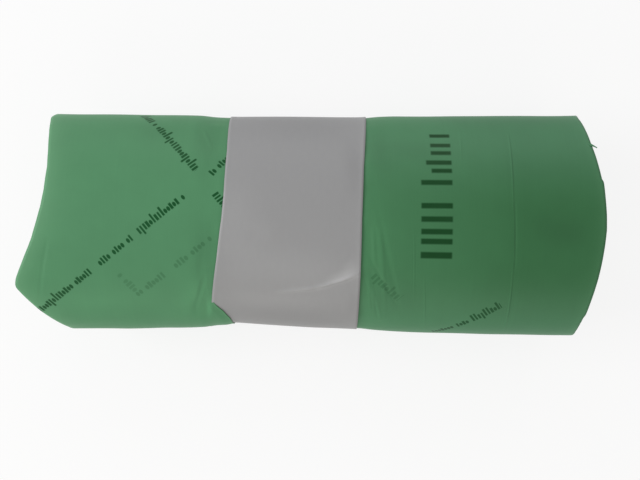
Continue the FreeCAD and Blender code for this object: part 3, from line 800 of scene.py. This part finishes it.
def bulge(x, angle):
    # The lift of the film by the band's corner: first what the outer turn has of it, and then
    # what is left for the fold over the band.
    lift = lobe["lift"] * plateau(np.mod(angle, 360.0), *lobe["window"])
    lift = lift * smoothly(x, *lobe["rise"])
    left = smoothly(x, *lobe["leave"])
    return lift * (1.0 - left), lift * left


def filmRelief(x, arc):
    # Slow swells, single folds and the gathers that fade away from the band's two edges, all of
    # them pressed flat under the band.
    relief = swells(x, arc, skin["swells"]) + creases(x, arc, skin["folds"])
    low, high = skin["bandEdges"]
    away = np.maximum(np.maximum(low - x, x - high), 0.0)
    loose = 1.0 / (1.0 + np.exp(-(away - 0.6) / 0.35))
    for height, rate, phase, reach in skin["gathers"]:
        relief = relief + height * np.exp(-away / reach) * np.sin(rate * arc + phase)
    return relief * loose + skin["base"]


def betweenEdges(span, angle, share, left, right, rounds):
    # Place along the roll of a share of the way from the left edge to the right one. The edges
    # depend on the place across, which depends a little on the place along, so it is worked
    # out a few times, from the rough span of the piece.
    x = span[0] + span[1] * share
    for _ in range(rounds):
        centre, wide, _tall = ovalAt(x)
        across = centre + wide * np.cos(np.radians(angle))
        low = np.interp(across, left[:, 0], left[:, 1])
        high = np.interp(across, right[:, 0], right[:, 1])
        x = low + share * (high - low)
    return x, low, high


def buildSkin():
    # The film from its free edge once round the roll and under itself: outward position is
    # relief, less the tuck where the turn is nearly complete.
    turn, share = gridOf(0.0, skin["turns"], skin["aroundPoints"], skin["alongPoints"])
    wander = 0.7 * np.sin(5.0 * share + 0.6) + 0.35 * np.sin(17.0 * share + 2.0)
    angle = roll["lipAngle"] + wander * np.exp(-turn / 0.03) - 360.0 * turn
    x, low, high = betweenEdges(skin["span"], angle, share, leftEdge, rightEdge, 3)
    arc = arcOf(angle)
    outward = filmRelief(x, arc) - skin["tuck"] * smoothly(turn, *skin["tuckPlace"])
    outward += bulge(x, angle)[0]
    outward += skin["lipLift"] * np.exp(-turn / 0.006) * (0.7 + 0.3 * np.sin(31.0 * share))
    rim = np.exp(-(x - low) / 3.2) + 0.35 * np.exp(-(high - x) / 1.6)
    points = onOval(x, angle, outward)
    # the patches hold random tone and painted shade beside the band
    shades = {"rim": rim, "toneAndShadePatches": creases(x, arc, film["toneAndShadePatches"])}
    piece = gridMesh("filmSkin", points, np.stack([x, arc], axis=-1), shades, turnOver=True)
    thicken(piece, skin["thickness"], -1.0)
    dress(piece, greenFilm)
    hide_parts("bag_roll")


# The wound turns that show at both ends.
turns = {
    "count": 27,
    "pointsPerTurn": 90,
    "columns": 9,
    "towardsEdge": 1.5,       # above 1 the columns crowd towards the open edge
    "thickness": 0.30,
    "start": 0.95,            # how deep the first of them lies under the outer turn
    "startAngle": -15.0,      # how far past the free lip they begin, so that it covers them
    "ends": {True: -71.5, False: 74.0},   # how far in they are followed at the left, and right
    "mapShift": 1000.0,       # moves their map away from the printed marks
    "seed": 12,
    "crowding": ((2.0, 0.10), (3.0, 0.08), (5.0, 0.05)),   # rate and height of each slow wave
    "recess": (0.45, 1.7),    # how far in their edges are at least, and how much further at most
    "ripples": ((31.0, 0.0, 0.07), (47.0, 1.0, 0.05)),     # rate, phase and height along an edge
}


def buildTurns(name, atLeft):
    # A strip of film on a spiral of shrinking ovals. Its outer edge stays a little inside the
    # outer turn's edge, by an amount that wanders from turn to turn.
    steps = turns["count"] * turns["pointsPerTurn"]
    turn, share = gridOf(0.0, turns["count"], steps + 1, turns["columns"])
    share = share ** turns["towardsEdge"]
    angle = roll["lipAngle"] + turns["startAngle"] - 360.0 * turn
    innermost = roll["halfHeight"] - roll["eyeHalfHeight"]
    inset = turns["start"] + (innermost - turns["start"]) * turn / turns["count"]
    # neighbours crowd together and part again: a few slow waves, each with its own phase
    dice = np.random.default_rng(turns["seed"] + int(atLeft))
    for rate, height in turns["crowding"]:
        inset = inset + height * np.sin(
            np.radians(rate * angle) + dice.uniform(0.0, 6.3) + dice.uniform(0.5, 1.4) * turn)
    across = (roll["meanHalfWidth"] - inset) * np.cos(np.radians(angle))
    # how far each turn's edge stays in: a random amount per half turn, joined smoothly
    knots = np.arange(0.0, turns["count"] + 1.0, 0.5)
    pushed = dice.uniform(0.0, 1.0, knots.size) ** 2.0
    wander = np.interp(turn[:, 0], knots, pushed)[:, None]
    wander = wander + 0.12 * np.sin(np.radians(4.0 * angle) + 2.3 * turn)
    least, further = turns["recess"]
    recess = least + further * np.clip(wander, 0.0, 1.2)
    for rate, phase, height in turns["ripples"]:
        recess = recess + height * np.sin(np.radians(rate * angle) + phase)
    edges, inwards = (leftEdge, 1.0) if atLeft else (rightEdge, -1.0)
    edge = np.interp(across, edges[:, 0], edges[:, 1]) + inwards * recess
    x = edge + share * (turns["ends"][atLeft] - edge)
    points = onOval(x, angle, -inset)
    rim = np.exp(-np.abs(x - edge) / 1.2) * 0.7
    legs = np.linalg.norm(np.diff(points[:, -1], axis=0), axis=1)
    way = np.concatenate([[0.0], np.cumsum(legs)])[:, None]
    uv = np.stack(np.broadcast_arrays(x, turns["mapShift"] + way), axis=-1)
    piece = gridMesh(name, points, uv, {"rim": rim}, turnOver=atLeft)
    thicken(piece, turns["thickness"], 0.0)
    dress(piece, greenFilm)
    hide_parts("bag_roll")


core = {
    "aroundPoints": 120,
    "inset": 1.5,
    # place along the roll, and the tube's size there as a share of the oval's
    "rows": [
        (-71.0, 0.0), (-71.0, 0.5), (-71.0, 1.0), (-60.0, 1.0), (-40.0, 1.0), (-31.0, 1.0),
        (-24.0, 1.0), (10.0, 1.0), (17.0, 1.0), (27.0, 1.0), (50.0, 1.0), (73.5, 1.0),
        (73.5, 0.5), (73.5, 0.0),
    ],
}


def buildCore():
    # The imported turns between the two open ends: an oval tube whose rows close to a point at
    # both ends, inside the outer turn.
    angles = np.linspace(0.0, 360.0, core["aroundPoints"], endpoint=False)
    places, shrink = np.array(core["rows"]).T
    angle, x = np.meshgrid(angles, places, indexing="ij")
    full = onOval(x, angle, -core["inset"])
    axis = np.stack(np.broadcast_arrays(x, 0.0, roll["axisHeight"]), axis=-1)
    points = axis + (full - axis) * shrink[None, :, None]
    uv = np.stack([x, arcOf(angle)], axis=-1)
    piece = gridMesh("filmCore", points, uv, {"rim": np.zeros(x.shape)}, closedAround=True)
    closePoles(piece)
    dress(piece, greenFilm)
    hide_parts("bag_roll")


def buildBand():
    # The strip of paper once round the film and on over itself at the lap. It stands off the
    # film by its clearance, and by its own thickness too at the lap. On top its edges curl up, by
    # a height * exp(-distance / 0.9).
    length = 1.0 + band["lap"] / 360.0
    turn, share = gridOf(0.0, length, band["aroundPoints"], band["acrossPoints"])
    angle = band["lapAngle"] - 360.0 * turn
    x, low, high = betweenEdges(band["span"], angle, share, bandLeft, bandRight, 2)
    arc = arcOf(angle)
    lapped = smoothly(turn, *band["lapRise"])
    outward = band["clearance"] + (band["thickness"] + band["lapGap"]) * lapped
    above = np.clip(np.sin(np.radians(angle)) / 0.5, 0.0, 1.0)
    outward = outward + above * (band["edgeCurlLeft"] * np.exp(-(x - low) / 0.9)
                                 + band["edgeCurlRight"] * np.exp(-(high - x) / 0.9))
    # the curved crease: its height * exp(-(distance / width)^2), growing from its left end
    nearest = np.full(x.shape, 99.0)
    for start, end in zip(band["crease"][:-1], band["crease"][1:]):
        nearest = np.minimum(nearest, segmentDistance(x, arc, start, end)[0])
    starts, growth = band["creaseFade"]
    fade = np.clip((x - starts) / growth, 0.0, 1.0)
    ridge = np.exp(-((nearest / band["creaseWidth"]) ** 2))
    outward = outward + band["creaseHeight"] * fade * ridge
    outward = outward + 0.05 * np.sin(0.16 * x + 0.07 * arc) + 0.03 * np.sin(0.3 * arc - 0.1 * x)
    points = onOval(x, angle, outward)
    points[..., 2] = np.maximum(points[..., 2], band["lowest"])
    rim = np.exp(-np.minimum(x - low, high - x) / 0.5)
    piece = gridMesh("paperBand", points, np.stack([x, arc], axis=-1), {"rim": rim}, turnOver=True)
    thicken(piece, band["thickness"], 1.0)
    dress(piece, greyPaper)
    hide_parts("paper_band")


def buildLobe():
    # It carries on flush with the outer turn where that dives under the band, and its rim turns
    # down to the paper. Outward is relief plus lift, mixed over to the paper's level.
    rimTable = np.array(lobe["rim"])
    angle, share = gridOf(rimTable[0, 0], rimTable[-1, 0], lobe["aroundPoints"],
                          lobe["alongPoints"])
    edge = eased(angle, rimTable[:, 0], rimTable[:, 1]) + 0.10 * np.sin(0.4 * angle)
    x = lobe["inner"] + share ** 0.8 * (edge - lobe["inner"])
    arc = arcOf(angle - 360.0)
    centre, wide, _tall = ovalAt(x)
    attached, free = bulge(x, angle)
    # the oval narrows under the band, and part of that is made good here
    part, fullWidth = lobe["madeGood"]
    madeGood = part * (fullWidth - wide) * smoothly(x, -38.0, 4.0)
    turned = lobe["turnDown"] * np.exp(-(edge - x) / 0.5) * smoothly(x, -36.0, 3.0)
    free = free + madeGood * plateau(angle, *lobe["window"]) - turned
    # it parts from the outer turn only beside the band, and lies on the paper past its edge
    emerged = smoothly(angle, *lobe["emerge"])
    flush = 0.12 * smoothly(x, lobe["inner"], 3.0) * emerged - 0.09
    flush = flush - lobe["buried"] * (1.0 - emerged)
    bandEdge = np.interp(centre + wide * np.cos(np.radians(angle)), bandLeft[:, 0], bandLeft[:, 1])
    onPaper = smoothly(x - bandEdge, -1.6, 1.8) * smoothly(angle, 134.0, 10.0)
    paperLevel = lobe["onPaper"] + 0.35 * smoothly(edge - x, 0.0, 3.0)
    outward = filmRelief(x, arc) + flush + attached + free * plateau(angle, *lobe["parting"])
    outward = outward * (1.0 - onPaper) + paperLevel * onPaper
    points = onOval(x, angle, outward)
    uv = np.stack([x, arc], axis=-1)
    # the patches hold random tone and painted shade beside the band, the same as on the outer turn
    shades = {"rim": 0.5 * np.exp(-(edge - x) / 0.6), "toneAndShadePatches": creases(x, arc, film["toneAndShadePatches"])}
    piece = gridMesh("filmLobe", points, uv, shades)
    thicken(piece, lobe["thickness"], -1.0)
    dress(piece, greenFilm)
    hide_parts("bag_roll")


shred = {
    "start": (87.2, 25.3, 35.6),
    "end": (89.4, 23.9, 36.8),
    "width": 0.8,
    "thickness": 0.12,
    "arch": 0.25,
    "taper": 0.7,
}


def buildShred():
    # A torn sliver at the right edge: a narrow strip that tapers from the film to its tip.
    along, across = np.meshgrid(np.linspace(0.0, 1.0, 14), np.linspace(-0.5, 0.5, 4), indexing="ij")
    start, end = np.array(shred["start"]), np.array(shred["end"])
    way = (end - start) / np.linalg.norm(end - start)
    aside = np.cross(way, (0.0, 0.35, 1.0))
    aside = aside / np.linalg.norm(aside)
    wide = shred["width"] * (1.0 - shred["taper"] * along) * across
    points = start + (end - start) * along[..., None] + aside * wide[..., None]
    points[..., 2] += shred["arch"] * np.sin(np.pi * along)
    rim = np.zeros(along.shape)
    piece = gridMesh("filmShred", points, points[..., :2], {"rim": rim}, turnOver=True)
    thicken(piece, shred["thickness"], 0.0)
    dress(piece, greenFilm)
    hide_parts("bag_roll")


buildSkin()
print("outer turn is built")
buildTurns("filmTurnsLeft", True)
buildTurns("filmTurnsRight", False)
buildCore()
print("wound turns are built")
buildBand()
print("band is built")
buildLobe()
buildShred()
print("loose film is built")

# Floor, light and background, with lengths in metres.
studio = {
    "floorSide": 4.0,
    "floorColour": (0.9, 0.9, 0.9, 1.0),
    "floorGlow": 0.82,        # share of plain white that the camera sees in the floor
    "whitening": (0.25, 0.8),    # how far from the middle that starts to grow, and is all white
    "worldStrength": 0.44,
    # name, place, size, power and colour of each lamp, and what they all point at
    "lamps": [
        ("leftSoftbox", (-0.75, 0.05, 0.5), (0.6, 0.5), 4.3, (1.0, 1.0, 1.0)),
        ("backSoftbox", (0.0, 0.8, 0.45), (1.0, 0.4), 1.95, (1.0, 1.0, 1.0)),
        ("frontSoftbox", (0.0, -0.8, 0.45), (1.0, 0.4), 2.1, (1.0, 0.95, 0.84)),
    ],
    "target": (0.0, 0.0, 0.02),
}


def seenDirectly(tree):
    # 1 for a ray from the camera, or one off or through something shiny, and 0 for the light
    # that falls on the object.
    path = node(tree, "ShaderNodeLightPath")
    return maths(tree, "MAXIMUM", path.outputs["Is Camera Ray"], maths(
        tree, "MAXIMUM", path.outputs["Is Glossy Ray"], path.outputs["Is Transmission Ray"]))


def buildFloor():
    # A square of pale table about the roll: four corners at half its side.
    corners = np.array([(-0.5, -0.5, 0.0), (0.5, -0.5, 0.0), (0.5, 0.5, 0.0), (-0.5, 0.5, 0.0)])
    floor = meshFrom("paleFloor", corners * studio["floorSide"] / mm, [(0, 1, 2, 3)])
    material, tree, shader = newMaterial("paleFloor")
    shader.inputs["Base Color"].default_value = studio["floorColour"]
    shader.inputs["Roughness"].default_value = 0.9
    shader.inputs["Specular IOR Level"].default_value = 0.1
    # part of what the camera sees is plain white, and the rest keeps the roll's shadow
    glow = node(tree, "ShaderNodeEmission", {"Color": (1.0, 1.0, 1.0, 1.0), "Strength": 1.0})
    middle = node(tree, "ShaderNodeTexCoord").outputs["Object"]
    radius = vectors(tree, "LENGTH", middle)
    starts, ends = studio["whitening"]
    whiteness = ranged(tree, radius, starts, ends, studio["floorGlow"], 1.0, "SMOOTHSTEP")
    share = maths(tree, "MULTIPLY", seenDirectly(tree), whiteness)
    blend = node(tree, "ShaderNodeMixShader", {
        0: share, 1: shader.outputs[0], 2: glow.outputs[0]})
    tree.links.new(blend.outputs[0], tree.nodes["Material Output"].inputs["Surface"])
    floor.data.materials.append(material)


def buildWorld():
    # White to the camera, and weaker as a light.
    world = bpy.data.worlds.new("paleRoom")
    bpy.context.scene.world = world
    world.use_nodes = True
    tree = world.node_tree
    background = tree.nodes["Background"]
    strength = node(tree, "ShaderNodeMix", {
        0: seenDirectly(tree), 2: studio["worldStrength"], 3: 1.0}, data_type="FLOAT")
    background.inputs["Color"].default_value = (1.0, 1.0, 1.0, 1.0)
    tree.links.new(strength.outputs[0], background.inputs["Strength"])


def areaLight(name, place, size, power, colour):
    # An oblong lamp turned to the target: tilted by the angle of the way there from straight
    # down, and then turned to its heading.
    data = bpy.data.lights.new(name, "AREA")
    data.shape = "RECTANGLE"
    data.size, data.size_y = size
    data.energy = power
    data.color = colour
    lamp = bpy.data.objects.new(name, data)
    lamp.location = place
    aim = np.array(studio["target"]) - np.array(place)
    flat = math.hypot(aim[0], aim[1])
    lamp.rotation_euler = (math.atan2(flat, -aim[2]), 0.0, math.atan2(aim[1], aim[0]) - math.pi / 2)
    bpy.context.scene.collection.objects.link(lamp)


buildFloor()
buildWorld()
for lamp in studio["lamps"]:
    areaLight(*lamp)
bpy.context.scene.view_settings.view_transform = "Standard"
print("studio is lit")
